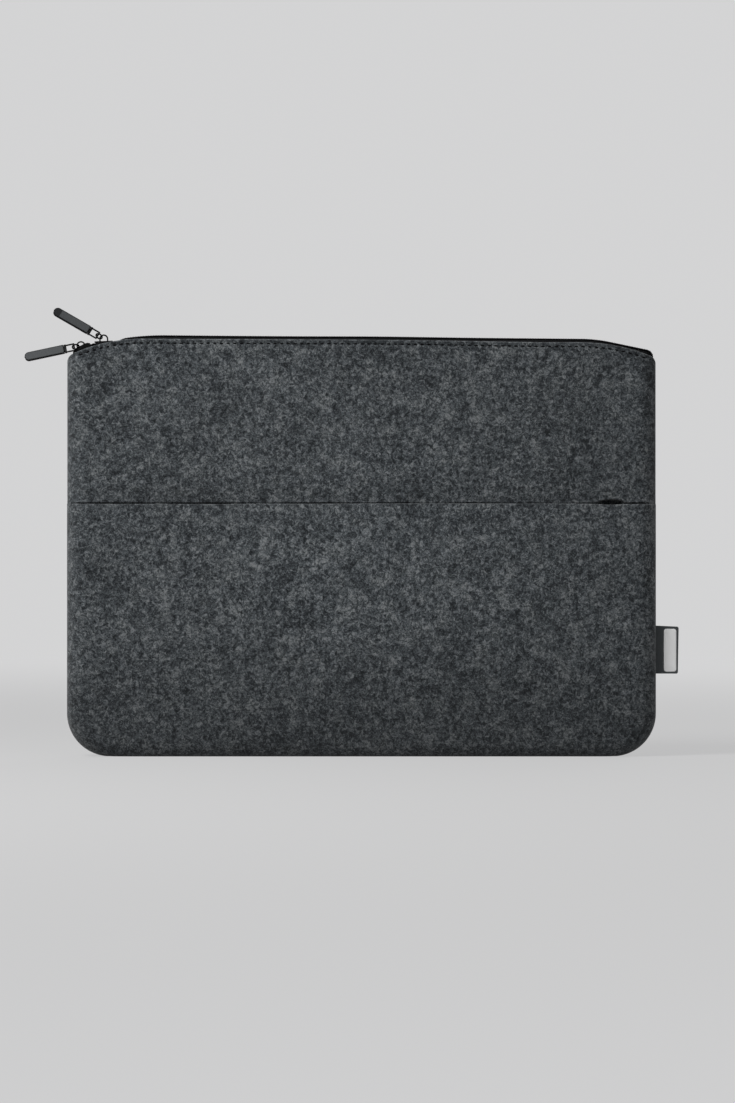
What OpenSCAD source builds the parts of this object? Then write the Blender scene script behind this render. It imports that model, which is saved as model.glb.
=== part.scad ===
// Felt laptop sleeve with a zipped top and an open front pocket.
// It stands upright: X to the right, Y to the back, Z up, origin at the middle of the bottom edge.

/* [Felt body] */
// Width across the side seams
sleeve_w = 370; // [300:1:420]
// Height of the felt at the middle of the top edge
sleeve_h = 262; // [200:1:300]
// Thickness of the felt
felt_t = 2.5; // [1.5:0.1:4]
// Depth of the laptop compartment
room_d = 13; // [12.5:0.5:30]
// Radius of the bottom corners
corner_r = 27; // [15:1:50]
// Distance over which a panel curves in to its side seam
side_roll = 13; // [9:0.5:16]
// Height over which a panel curves in to its bottom seam
bottom_roll = 10; // [6:0.5:14]
// Width of the flat that each panel stands on
foot_w = 4; // [2:0.5:5]
// Gap between the two panels in the seam
seam_gap = 0.5; // [0.45:0.05:0.6]
// Radius of the crown of the felt's top edge
felt_crown_r = 24000; // [8000:500:40000]
// Length of each shoulder, where the top edge falls to the side seam
shoulder_l = 45; // [30:1:60]
// Radius of each shoulder
shoulder_r = 95; // [80:1:140]
// Radius of the tip of each top corner
tip_r = 3.6; // [2:0.1:6]

/* [Pocket] */
// Height of the pocket's mouth
pocket_h = 158.5; // [100:0.5:190]
// Depth of the pocket between its two layers of felt
pocket_d = 4.7; // [4.5:0.1:12]
// Thickness of the pocket's felt
pocket_t = 2.5; // [1.5:0.1:4]
// Inset of the pocket's sewn edge from the outline of the sleeve
pocket_inset = 1.2; // [0.8:0.1:2]
// Clearance between the pocket's sewn edge and the felt under it
pocket_seat = 0.3; // [0.2:0.05:0.4]

/* [Zip] */
// Radius of the zip's crowned run
track_r = 4000; // [3000:100:5000]
// Distance of the crown's top from the middle of the sleeve, to the right
crown_shift = 26.4; // [0:0.2:40]
// Height of the tape over the felt's edge, at the crown's top
track_rise = 0.55; // [0:0.05:0.6]
// Slope of the zip's left end, which turns down to the side seam
left_slope = 30; // [20:1:35]
// Length of the sloping left end
left_run = 14.2; // [12:0.1:16]
// Radius of the bend at the left end
left_bend_r = 3; // [2:0.5:6]
// Slope of the zip's right end
right_slope = 10.5; // [8:0.5:14]
// Length of the sloping right end
right_run = 30; // [20:0.5:40]
// Radius of the bend at the right end
right_bend_r = 30; // [20:1:40]
// Distance of the zip's ends from the side seams
end_gap = 3.4; // [2.5:0.1:5]
// Thickness of the tape
tape_t = 0.5; // [0.3:0.05:0.6]
// Depth of the tape that is sewn to the felt's inner face
tape_depth = 12; // [8:1:20]
// Clearance between the tape and the felt that it is sewn to
tape_seat = 0.05; // [0.02:0.01:0.1]
// Distance from one coil turn to the next
tooth_pitch = 1.6; // [1.5:0.05:2.4]
// Width of the closed chain
chain_w = 5.4; // [4.6:0.1:6]
// Height of the coil
coil_h = 1.6; // [1.2:0.05:1.8]
// Reach of a tooth's head past the middle of the chain
head_reach = 0.75; // [0.5:0.05:0.9]
// Width of a tooth's head
head_w = 0.8; // [0.6:0.05:0.85]
// Width of a tooth's neck
neck_w = 0.5; // [0.3:0.05:0.55]

/* [Sliders] */
// Length of a slider
slider_l = 11.4; // [10.5:0.1:11.6]
// Thickness of a slider's plates
plate_t = 0.7; // [0.5:0.05:0.9]
// Thickness of a slider's side walls
wall_t = 0.6; // [0.4:0.05:0.8]
// Clearance around the chain in a slider
slider_clear = 0.15; // [0.1:0.01:0.2]
// Half width of the post that parts the chain
post_w = 0.7; // [0.5:0.05:0.9]
// Room between the bend and the nose of the right slider
right_room = 0.2; // [0.2:0.1:60]
// Room between the bend and the nose of the left slider
left_room = 0.3; // [0.2:0.05:0.5]
// Mean radius of a slider's bridge
bridge_r = 2.4; // [2:0.1:3]
// Height of the legs under the bridge's arch
bridge_leg = 1.5; // [1.4:0.1:2.5]
// Thickness of the bridge
bridge_d = 0.95; // [0.7:0.05:1]

/* [Pulls] */
// Mean radius of a ring
ring_r = 2.05; // [1.95:0.05:2.3]
// Thickness of the ring's wire
ring_d = 1; // [0.8:0.05:1.05]
// Twist of the ring out of the strap's way
ring_twist = 39; // [30:1:41]
// Thickness of the loop's wire
loop_d = 1; // [0.85:0.05:1.05]
// Width of the loop between its wires' middles
loop_w = 4.6; // [4.2:0.1:5.2]
// Length of the loop from its bar to its collar
loop_l = 5.6; // [4.5:0.1:8]
// Thickness of the collar at the strap's end
collar_d = 1.5; // [1:0.1:1.6]
// Length of the strap
strap_l = 25.6; // [15:0.1:40]
// Width of the strap
strap_w = 6; // [5.5:0.1:7]
// Thickness of the strap
strap_t = 2; // [1.5:0.1:2.5]
// Roll of the strap about its own length
strap_roll = 24; // [0:1:30]
// Length of the collar's tongue inside the strap
tongue_l = 3.5; // [2:0.5:6]
// Thickness of the collar's tongue
tongue_t = 0.6; // [0.4:0.1:0.8]
// Clearance between parts that hang in one another
link_clear = 0.1; // [0.08:0.01:0.14]
// Direction of the right pull, from the X axis towards Z
right_pull_angle = 150; // [120:1:154]
// Direction of the left pull, from the X axis towards Z
left_pull_angle = 192; // [186:1:192]

/* [Label] */
// Length of the label outside the seam
label_l = 14.5; // [8:0.5:25]
// Height of the label
label_h = 30.3; // [15:0.1:50]
// Height of the label's lower edge
label_z = 51.8; // [40:0.1:100]
// Thickness of the folded label
label_t = 0.4; // [0.25:0.05:0.4]
// Depth of the label's end in the seam
label_tuck = 2; // [1:0.1:2.4]
// Radius of the label's outer corners
label_r = 1; // [0.5:0.1:3]

/* [Hidden] */
$fn = 48;

felt_color = [0.25, 0.26, 0.27];
zip_color = [0.03, 0.03, 0.035];
metal_color = [0.05, 0.05, 0.055];
strap_color = [0.3, 0.31, 0.32];
label_color = [0.22, 0.23, 0.24];

half_w = sleeve_w / 2;

// Steps of the felt grids: rolled edge, flat field, bottom corner and upper field.
roll_steps = 6;
field_steps = 9;
corner_steps = 8;
upper_steps = 4;
columns = 2 * (roll_steps + field_steps);

// Quarter ellipse from 0 at the seam to 1 where the panel is flat.
function swell(e) = sqrt(1 - pow(1 - min(max(e, 0), 1), 2));

// Height of the felt's top edge: a long crown, two shoulders and two rounded tips.
function past(x, start) = max(0, abs(x) - start);
function felt_top(x) = sleeve_h - x * x / (2 * felt_crown_r)
    - pow(past(x, half_w - shoulder_l), 2) / (2 * shoulder_r)
    - (tip_r - sqrt(pow(tip_r, 2) - pow(min(past(x, half_w - tip_r), tip_r), 2)));

// Half width of the outline at row angle a of the bottom corner, and the height of that row.
function corner_half(a, inset) = half_w - corner_r + (corner_r - inset) * sin(a);
function corner_z(a, inset) = corner_r - (corner_r - inset) * cos(a);
function row_angle(row) = min(90, 90 * row / corner_steps);

// Distance of a column from the side seam, on a row of the given half width.
function column_edge(k, half, roll) = k <= roll_steps
    ? roll * (1 - cos(90 * k / roll_steps))
    : roll + (half - roll) * (k - roll_steps) / field_steps;
function column_x(col, half, roll) = col <= columns / 2
    ? column_edge(col, half, roll) - half
    : half - column_edge(columns - col, half, roll);

// Height of a row above the corner, at x, when the last row lies on the given top.
function row_z(row, top, inset) = row <= corner_steps
    ? corner_z(row_angle(row), inset)
    : corner_r + (top - corner_r) * (row - corner_steps) / upper_steps;

// Share of the depth that a panel has at a height: a flat foot, then a quarter ellipse.
foot_share = foot_w / (room_d / 2 + felt_t);
function bottom_share(z, inset) =
    foot_share + (1 - foot_share) * swell((z - inset) / (bottom_roll - inset));

// Distance from the middle plane of the panel layer that lies inset inside the outer face.
function half_at(z, inset) = z >= corner_r
    ? half_w - inset
    : half_w - corner_r + sqrt(max(0, pow(corner_r - inset, 2) - pow(corner_r - z, 2)));
function layer_y(x, z, inset) = seam_gap / 2 + (room_d / 2 + felt_t - inset - seam_gap / 2)
    * swell((half_at(z, inset) - abs(x)) / (side_roll - inset)) * bottom_share(z, inset);

// One point of a panel layer: row -1 is the bottom seam itself.
function panel_point(row, col, inset) =
    let (half = corner_half(row_angle(max(row, 0)), inset),
        x = column_x(col, half, side_roll - inset),
        z = row_z(max(row, 0), felt_top(x), inset))
    [x, row < 0 ? seam_gap / 2 : layer_y(x, z, inset), z];

// The pocket's inner layer rests on the front panel at its sewn edge and stands off it inside.
function pocket_room(x, z) = pocket_seat + (pocket_d - pocket_seat)
    * swell((half_at(z, pocket_inset) - abs(x)) / (2 * side_roll))
    * swell((z - pocket_inset) / (2 * bottom_roll));
pocket_edge_share = 0.4;
function pocket_wall(x, z) = pocket_t * (pocket_edge_share
    + (1 - pocket_edge_share) * swell((half_at(z, pocket_inset) - abs(x)) / side_roll)
        * swell((z - pocket_inset) / bottom_roll));
function pocket_point(row, col, outer) =
    let (half = corner_half(row_angle(row), pocket_inset),
        x = column_x(col, half, side_roll - pocket_inset),
        z = row_z(row, pocket_h, pocket_inset))
    [x, layer_y(x, z, 0) + pocket_room(x, z) + (outer ? pocket_wall(x, z) : 0), z];

// Closed sheet between two grids of points with the same rows and columns.
module sheet(outer, inner, rows) {
    width = columns + 1;
    count = rows * width;
    cells = [for (r = [0 : rows - 2], c = [0 : columns - 1]) r * width + c];
    rim = concat([for (c = [0 : columns - 1]) [c, c + 1]],
        [for (r = [0 : rows - 2]) [r * width + columns, (r + 1) * width + columns]],
        [for (c = [0 : columns - 1]) [count - 1 - c, count - 2 - c]],
        [for (r = [0 : rows - 2]) [(rows - 1 - r) * width, (rows - 2 - r) * width]]);
    polyhedron(concat(outer, inner), concat(
        [for (a = cells) [a, a + width, a + width + 1]],
        [for (a = cells) [a, a + width + 1, a + 1]],
        [for (a = cells) [count + a, count + a + width + 1, count + a + width]],
        [for (a = cells) [count + a, count + a + 1, count + a + width + 1]],
        [for (e = rim) [e[0], e[1], count + e[1]]],
        [for (e = rim) [e[0], count + e[1], count + e[0]]]));
}

module felt_panel() {
    last = corner_steps + upper_steps;
    sheet([for (r = [-1 : last], c = [0 : columns]) panel_point(r, c, 0)],
        [for (r = [-1 : last], c = [0 : columns]) panel_point(r, c, felt_t)],
        last + 2);
}

module back_panel() { color(felt_color) felt_panel(); }

module front_panel() { color(felt_color) mirror([0, 1, 0]) felt_panel(); }

module pocket_panel() {
    last = corner_steps + upper_steps;
    color(felt_color) mirror([0, 1, 0])
        sheet([for (r = [0 : last], c = [0 : columns]) pocket_point(r, c, true)],
            [for (r = [0 : last], c = [0 : columns]) pocket_point(r, c, false)],
            last + 1);
}

// The zip's path as points [x, z, slope]: a crowned run, and at each end a bend and a straight slope.
// An end is [slope, length, bend radius, x of the crown's top], and its points are those of an end on the right.
left_end = [left_slope, left_run, left_bend_r, -crown_shift];
right_end = [right_slope, right_run, right_bend_r, crown_shift];
track_top = sleeve_h + track_rise;
arc_steps = 20;
bend_steps = 4;
function crown_x(e) = half_w - end_gap - e[1] * cos(e[0]) - e[2] * sin(e[0]);
function crown_slope(e) = asin((crown_x(e) - e[3]) / track_r);
function crown_point(e, slope) = [e[3] + track_r * sin(slope), track_top - track_r * (1 - cos(slope)), slope];
function bend_point(e, slope) = let (from = crown_slope(e), p = crown_point(e, from))
    [p[0] + e[2] * (sin(slope) - sin(from)), p[1] - e[2] * (cos(from) - cos(slope)), slope];
function run_point(e, s) = let (p = bend_point(e, e[0]))
    [p[0] + s * cos(e[0]), p[1] - s * sin(e[0]), e[0]];
function bend_path(e) = let (from = crown_slope(e))
    [for (k = [0 : bend_steps]) bend_point(e, from + (e[0] - from) * k / bend_steps)];
function end_path(e) = concat(bend_path(e), [run_point(e, e[1])]);
function left_of(p) = [-p[0], p[1], -p[2]];
crown_path = [for (k = [0 : 2 * arc_steps])
    let (share = k / arc_steps - 1)
    crown_point(right_end, share * crown_slope(share < 0 ? left_end : right_end))];

// A point moved off the path along its normal.
function off_path(p, n) = [p[0] + n * sin(p[2]), p[1] + n * cos(p[2])];
function backward(list) = [for (k = [len(list) - 1 : -1 : 0]) list[k]];

module band(path, low, high) {
    polygon(concat([for (p = path) off_path(p, high)], [for (p = backward(path)) off_path(p, low)]));
}

// Extrudes an outline drawn in X and Z from y0 to y1.
module across(y0, y1) {
    translate([0, y1, 0]) rotate([90, 0, 0]) linear_extrude(y1 - y0) children();
}

tape_out = room_d / 2 - tape_seat;
spine_w = 0.7;
tape_in = chain_w / 2 - spine_w;
tape_margin = 2;
tape_end_w = chain_w / 2 + tape_margin;

// One tape: flat under the coil, then turned down along the felt's inner face.
module zip_tape() {
    across(tape_in, tape_out) band(crown_path, -tape_t / 2, tape_t / 2);
    across(tape_out - tape_t, tape_out) polygon(concat(
        [for (p = crown_path) off_path(p, tape_t / 2)],
        [for (p = backward(crown_path)) [p[0], p[1] - tape_depth]]));
    across(tape_in, tape_end_w) band(end_path(right_end), -tape_t / 2, tape_t / 2);
    mirror([1, 0, 0]) across(tape_in, tape_end_w) band(end_path(left_end), -tape_t / 2, tape_t / 2);
}

module zip_tape_back() { color(zip_color) zip_tape(); }

module zip_tape_front() { color(zip_color) mirror([0, 1, 0]) zip_tape(); }

// The chain is parted between the two sliders' posts and meshes again inside each slider.
part_w = post_w + head_reach + slider_clear;
slider_end = slider_l / 2;
neck_x = 1.4;
throat_l = 2.4;
throat_x = throat_l - slider_end;
mesh_lead = 0.2;
right_park = crown_x(left_end) - slider_end - right_room;
left_center_s = left_room + slider_end;
function parted(x, closed_x, open_x) = part_w * min(1, max(0, (closed_x - x) / (closed_x - open_x)));

// Plan outline of one coil turn: a neck from the spine and a wider head past the middle.
head_back = 0.08;
head_slant = 0.15;
turn_outline = [[-neck_w / 2, tape_in], [-neck_w / 2, -head_back - head_slant],
    [-head_w / 2, -head_back - 2 * head_slant], [head_slant - head_w / 2, -head_reach],
    [head_w / 2 - head_slant, -head_reach], [head_w / 2, -head_back - 2 * head_slant],
    [neck_w / 2, -head_back - head_slant], [neck_w / 2, tape_in]];

// Plan outline of a row of turns from x0 to x1 on a spine that runs on to s0 and s1.
module coil_comb(x0, x1, s0, s1, phase, closed_x, open_x) {
    function shift(x) = parted(x, closed_x, open_x);
    first = ceil((x0 + head_w) / tooth_pitch - phase);
    last = floor((x1 - head_w) / tooth_pitch - phase);
    turns = [for (k = [first : last], q = turn_outline)
        let (x = (k + phase) * tooth_pitch + q[0]) [x, q[1] + shift(x)]];
    spine = [for (x = [s1, closed_x, open_x, s0]) if (x <= s1 && x >= s0) [x, chain_w / 2 + shift(x)]];
    polygon(concat([[s0, tape_in + shift(s0)]], turns, [[s1, tape_in + shift(s1)]], spine));
}

// One half of the chain: the crowned run, cut to the coil's height, and the two sloping ends.
module coil_run(phase) {
    low = tape_t / 2;
    high = low + coil_h;
    intersection() {
        translate([0, 0, track_top - half_w / 2]) linear_extrude(half_w)
            coil_comb(-crown_x(left_end), crown_x(right_end), -half_w, half_w, phase,
                neck_x - mesh_lead - right_park, throat_x + mesh_lead - right_park);
        across(-chain_w, 2 * chain_w) band(crown_path, low, high);
    }
    coil_end(right_end, phase, low, high, -1, -2);
    mirror([1, 0, 0]) coil_end(left_end, phase, low, high, left_center_s + neck_x - mesh_lead,
        left_center_s + throat_x + mesh_lead);
}

// The bend is a little slimmer than the runs on both sides of it, and is lapped into both.
lap = 0.2;
lap_step = 0.03;
module coil_end(e, phase, low, high, closed_s, open_s) {
    opening = parted(0, closed_s, open_s);
    lap_start = crown_point(e, crown_slope(e) - asin(lap / track_r));
    run_start = run_point(e, 0);
    across(tape_in + opening + lap_step, chain_w / 2 + opening - lap_step)
        band(concat([lap_start], bend_path(e)), low + lap_step, high - lap_step);
    translate([run_start[0], 0, run_start[1]]) rotate([0, e[0], 0])
        translate([0, 0, low]) linear_extrude(high - low)
        coil_comb(0, e[1], -lap, e[1], phase, closed_s, open_s);
}

module zip_coil_back() { color(zip_color) coil_run(0); }

module zip_coil_front() { color(zip_color) mirror([0, 1, 0]) coil_run(0.5); }

// Heights in a slider above the tape's middle.
channel_low = -tape_t / 2 - slider_clear;
channel_high = tape_t / 2 + coil_h + slider_clear;
plate_top = channel_high + plate_t;
slot_clear = 0.2;
slot_top = tape_t / 2 + slot_clear;

// Half widths of the channel in a slider, with its nose at -X.
tail_half = chain_w / 2 + 2 * slider_clear;
nose_half = chain_w / 2 + part_w + slider_clear;

function mirrored_outline(half) = concat(half, [for (p = backward(half)) [p[0], -p[1]]]);
nose_bevel = 1;
nose_run = 0.8;
nose_ease = 0.3;
slider_outline = mirrored_outline([[-slider_end, nose_half - nose_bevel],
    [-slider_end + nose_run, nose_half + wall_t - nose_ease], [throat_x, nose_half + wall_t],
    [neck_x, tail_half + wall_t], [slider_end - wall_t, tail_half + wall_t], [slider_end, tail_half]]);
channel_outline = mirrored_outline([[-slider_l, nose_half], [throat_x, nose_half],
    [neck_x, tail_half], [slider_l, tail_half]]);
post_start = 0.4;
post_full = 1;
post_waist = 0.7;
post_tail = 0.9;
post_tip = 0.05;
post_outline = mirrored_outline([[post_start - slider_end, post_w / 2], [post_full - slider_end, post_w],
    [throat_x, post_w * post_waist], [throat_x + post_tail, post_tip]]);

// A slider over the tape's middle plane: two plates, side walls, the parting post and the bridge.
module slider() {
    translate([0, 0, channel_low - plate_t]) linear_extrude(plate_t) polygon(slider_outline);
    translate([0, 0, channel_high]) linear_extrude(plate_t) polygon(slider_outline);
    translate([0, 0, slot_top]) linear_extrude(channel_high - slot_top) difference() {
        polygon(slider_outline);
        polygon(channel_outline);
    }
    translate([0, 0, channel_low]) linear_extrude(channel_high - channel_low) polygon(post_outline);
    for (side = [-1, 1]) translate([side * bridge_r, 0, plate_top - plate_t / 2])
        cylinder(h = plate_t / 2 + bridge_leg, d = bridge_d);
    translate([0, 0, plate_top + bridge_leg]) rotate([90, 0, 0])
        rotate_extrude(angle = 180) translate([bridge_r, 0]) circle(d = bridge_d);
}

// Places of the two sliders.
right_tilt = asin((right_park + crown_shift) / track_r);
module at_right_slider() {
    translate([crown_shift, 0, track_top - track_r]) rotate([0, -right_tilt, 0])
        translate([0, 0, track_r]) children();
}

left_center = left_of(run_point(left_end, left_center_s));
module at_left_slider() {
    translate([left_center[0], 0, left_center[1]]) rotate([0, left_center[2], 0]) children();
}

module slider_right() { color(metal_color) at_right_slider() slider(); }

module slider_left() { color(metal_color) at_left_slider() mirror([1, 0, 0]) slider(); }

// A pull runs along X from the middle of its bridge's arch, and is then turned to its direction.
bridge_top = plate_top + bridge_leg;
ring_x = bridge_r - bridge_d / 2 - link_clear - ring_d / 2 + ring_r;
bar_x = ring_x + ring_r - ring_d / 2 - link_clear - loop_d / 2;
collar_x = bar_x + loop_l;
strap_x = collar_x + collar_d / 2;

module turned_pull(angle) { translate([0, 0, bridge_top]) rotate([0, -angle, 0]) children(); }

module right_pull() { at_right_slider() turned_pull(right_pull_angle - right_tilt) children(); }

module left_pull() { at_left_slider() turned_pull(left_pull_angle - left_slope) children(); }

module ring() {
    translate([ring_x, 0, 0]) rotate([ring_twist, 0, 0])
        rotate_extrude() translate([ring_r, 0]) circle(d = ring_d);
}

module ring_right() { color(metal_color) right_pull() ring(); }

module ring_left() { color(metal_color) left_pull() ring(); }

module tongue(clear) {
    translate([collar_x, -tongue_t / 2 - clear, -loop_w / 3 - clear])
        cube([collar_d / 2 + tongue_l + clear, tongue_t + 2 * clear, 2 * loop_w / 3 + 2 * clear]);
}

// Wire loop with a bar in the ring, two legs, a thicker collar and a tongue held in the strap.
module loop() {
    rotate([strap_roll, 0, 0]) {
        translate([bar_x, 0, -loop_w / 2]) cylinder(h = loop_w, d = loop_d);
        translate([collar_x, 0, -(loop_w + loop_d) / 2]) cylinder(h = loop_w + loop_d, d = collar_d);
        for (side = [-1, 1]) translate([bar_x, 0, side * loop_w / 2]) {
            sphere(d = loop_d);
            rotate([0, 90, 0]) cylinder(h = loop_l, d = loop_d);
        }
        tongue(0);
    }
}

module loop_right() { color(metal_color) right_pull() loop(); }

module loop_left() { color(metal_color) left_pull() loop(); }

// Flat strap with a round end, moulded over the tongue.
strap_seat = 0.05;
module strap() {
    rotate([strap_roll, 0, 0]) difference() {
        across(-strap_t / 2, strap_t / 2) {
            translate([strap_x + strap_seat, -strap_w / 2]) square([strap_l - strap_w / 2, strap_w]);
            translate([strap_x + strap_seat + strap_l - strap_w / 2, 0]) circle(d = strap_w);
        }
        tongue(strap_seat);
    }
}

module strap_right() { color(strap_color) right_pull() strap(); }

module strap_left() { color(strap_color) left_pull() strap(); }

// Folded label, caught in the right side seam.
module side_label() {
    tip_x = half_w + label_l;
    color(label_color) across(-label_t / 2, label_t / 2) {
        translate([half_w - label_tuck, label_z]) square([label_tuck + label_l - label_r, label_h]);
        translate([tip_x - 2 * label_r, label_z + label_r]) square([2 * label_r, label_h - 2 * label_r]);
        for (z = [label_z + label_r, label_z + label_h - label_r]) translate([tip_x - label_r, z])
            circle(r = label_r);
    }
}

back_panel();
front_panel();
pocket_panel();
zip_tape_back();
zip_tape_front();
zip_coil_back();
zip_coil_front();
slider_right();
slider_left();
ring_right();
ring_left();
loop_right();
loop_left();
strap_right();
strap_left();
side_label();
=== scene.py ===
"""Looks of the laptop sleeve: felt, pocket, zip, pulls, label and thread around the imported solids."""
import math

import bpy
import numpy as np
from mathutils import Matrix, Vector, noise


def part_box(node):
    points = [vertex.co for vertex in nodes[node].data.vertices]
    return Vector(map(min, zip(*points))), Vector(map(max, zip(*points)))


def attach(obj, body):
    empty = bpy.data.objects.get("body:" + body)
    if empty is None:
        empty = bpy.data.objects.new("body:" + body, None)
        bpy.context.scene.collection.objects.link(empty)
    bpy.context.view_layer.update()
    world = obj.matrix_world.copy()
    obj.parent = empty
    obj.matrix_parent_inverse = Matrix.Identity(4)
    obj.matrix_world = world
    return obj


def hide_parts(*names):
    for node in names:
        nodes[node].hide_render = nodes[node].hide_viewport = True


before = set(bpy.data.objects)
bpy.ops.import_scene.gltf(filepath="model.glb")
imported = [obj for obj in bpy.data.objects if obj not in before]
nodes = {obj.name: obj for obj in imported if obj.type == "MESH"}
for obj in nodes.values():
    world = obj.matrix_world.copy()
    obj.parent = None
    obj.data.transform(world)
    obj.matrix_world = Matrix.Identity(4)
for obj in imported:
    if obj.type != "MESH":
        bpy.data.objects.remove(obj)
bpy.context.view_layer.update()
MM = 0.001
FRONT = -1
BACK = 1

# Sizes that the part's source has too, in millimetres and radians
HALF_W = 185.0
HEIGHT = 262.0
FELT_T = 2.5
HALF_ROOM = 6.5
CORNER_R = 27.0
SIDE_ROLL = 13.0
BOTTOM_ROLL = 10.0
FOOT = 4.0
POCKET_H = 158.5
POCKET_INSET = 1.2
TRACK_R = 4000.0
TRACK_X = 26.4
TRACK_TOP = HEIGHT + 0.55
END_GAP = 3.4
LEFT_SLOPE = math.radians(30)
LEFT_RUN = 14.2
LEFT_BEND = 3.0
TOOTH_PITCH = 1.6
LABEL_TUCK = 2.0

# The felt's top edge, rim and seam
RIM = 1.13
RIM_BULGE = 0.75
RIM_STEPS = 5
FELT_LEAN = 0.004
RIGHT_FALL = 1.2
SHOULDER_X = 138.0
LEFT_SHOULDER_R = 98.0
RIGHT_SHOULDER_R = 115.0
TIP_R = 2.8
SEAM = 0.2

# Shallow waves of the felt: height, length and seed of each, the depth of its pillow and the back's share
WAVES = ((0.55, 95, 3.1), (0.28, 38, 7.7))
PILLOW = 2.2
BACK_WAVES = 0.8

# The pocket, and the place on its mouth where it gapes
POCKET_T = 2.2
POCKET_PROUD = 0.1
POCKET_BULGE = 0.35
GAPE_X = 156.6
GAPE_DEPTH = 8.5
GAPE_TOP = 161.0

# Stitches
STITCH_DROP = 2.0
STITCH_PITCH = 4.2
STITCH_GAP = 1.15
STITCH_R = 0.4
STITCH_RISE = 0.6
STITCH_SINK = 0.75
STITCH_STEPS = 7
STITCH_ROW = 178.0

# The dressed zip: the join of its left end and its level run, that run's lean and shoulders, coils and tapes
LEFT_JOIN = -156.2
LEVEL_START = -147.5
LEVEL_END = 179.4
TOP_LEAN = 0.0085
ZIP_DROP = 0.08
ZIP_LEFT_X = -123.0
ZIP_LEFT_R = 170.0
ZIP_RIGHT_R = 91.0
ZIP_RIGHT_SLOPE = 0.2
COIL_R = 0.3
CORD_R = 0.62
TAPE_T = 0.3
TAPE_END_X = 168.0
TAPE_END_WIDTH = 4.7 / 6.2
TAPE_END_HEIGHT = 0.25

# Label, straps and metal edges
LABEL_STEPS = 26
LABEL_HALF_T = 0.05
STRAP_ARRIS = 0.3
STRAP_STEPS = 60
DARK_END = 4.6
BEVEL_W = 0.15

# Rows of points on the panels: closer together at the pocket's mouth and below the top edge
COLUMNS = 250
EDGE_COLUMNS = 12
CORNER_ROWS = np.linspace(0, np.pi / 2, 22)
TOP_ROWS = np.array([11, 9, 7.5, 6.3, 5.4, 4.8, 4.3, 3.8, 3.3, 2.8, 2.2, 1.6, 1.0, 0.5, 0])
POCKET_ROWS = np.linspace(30, 146, 26)
PANEL_ROWS = np.concatenate([
    np.linspace(30, 147, 26), np.linspace(149, 153, 4), np.linspace(154, 158, 8),
    np.linspace(158.2, 161.6, 18), np.linspace(162, 164, 5), np.linspace(165.5, 172, 4),
    np.linspace(176, 248, 16)])


# Meshes

def plain_mesh(name, points, faces):
    """A smooth object from points in millimetres."""
    mesh = bpy.data.meshes.new(name)
    mesh.from_pydata((np.asarray(points) * MM).tolist(), [], faces)
    mesh.polygons.foreach_set("use_smooth", np.ones(len(mesh.polygons), bool))
    mesh.update()
    obj = bpy.data.objects.new(name, mesh)
    bpy.context.scene.collection.objects.link(obj)
    return obj


def mark(obj, name, values):
    """Keeps one value for each vertex, under a name that a material can read."""
    layer = obj.data.attributes.new(name, "FLOAT", "POINT")
    layer.data.foreach_set("value", np.asarray(values, np.float32))


def closed_sheet(name, outer, inner, bulge, all_round=False):
    """A closed mesh from an outer and an inner grid; its top rim, or all of its rim, is rounded outwards."""
    rows, cols = outer.shape[:2]
    count = rows * cols
    grid = np.arange(count).reshape(rows, cols)
    a, b, c, d = grid[:-1, :-1], grid[:-1, 1:], grid[1:, 1:], grid[1:, :-1]
    quads = [np.stack([a, b, c, d], -1).reshape(-1, 4), np.stack([a, d, c, b], -1).reshape(-1, 4) + count]
    rim = ([(0, c) for c in range(cols)] + [(r, cols - 1) for r in range(1, rows)]
           + [(rows - 1, c) for c in range(cols - 2, -1, -1)] + [(r, 0) for r in range(rows - 2, 0, -1)])
    rim_r, rim_c = np.array(rim).T
    outer_rim, inner_rim = outer[rim_r, rim_c], inner[rim_r, rim_c]
    away = outer_rim - outer[np.clip(rim_r, 1, rows - 2), np.clip(rim_c, 1, cols - 2)]
    away /= np.maximum(np.linalg.norm(away, axis=1, keepdims=True), 1e-9)
    is_top = (rim_r == rows - 1) & (not all_round)
    away[is_top] = (0, 0, 1)
    lift = np.where(is_top | all_round, bulge, 0.0)[:, None]
    points = [outer.reshape(-1, 3), inner.reshape(-1, 3)]
    rings = [grid[rim_r, rim_c]]
    for k in range(1, RIM_STEPS):
        t = math.pi * k / RIM_STEPS
        mix = (1 - math.cos(t)) / 2
        points.append(outer_rim * (1 - mix) + inner_rim * mix + away * lift * math.sin(t))
        rings.append(np.arange(len(rim)) + 2 * count + (k - 1) * len(rim))
    rings.append(grid[rim_r, rim_c] + count)
    for low, high in zip(rings, rings[1:]):
        quads.append(np.stack([low, high, np.roll(high, -1), np.roll(low, -1)], -1))
    obj = plain_mesh(name, np.concatenate(points), np.concatenate(quads).tolist())
    mark(obj, "cut", np.concatenate([np.zeros(2 * count), np.tile(is_top, RIM_STEPS - 1)]))
    return obj


def ring_faces(rings, sides):
    """Four-sided faces between rings of points that follow one another."""
    faces = []
    for k in range(rings - 1):
        low, high = k * sides, (k + 1) * sides
        for i in range(sides):
            j = (i + 1) % sides
            faces.append((low + i, low + j, high + j, high + i))
    return faces


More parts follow.
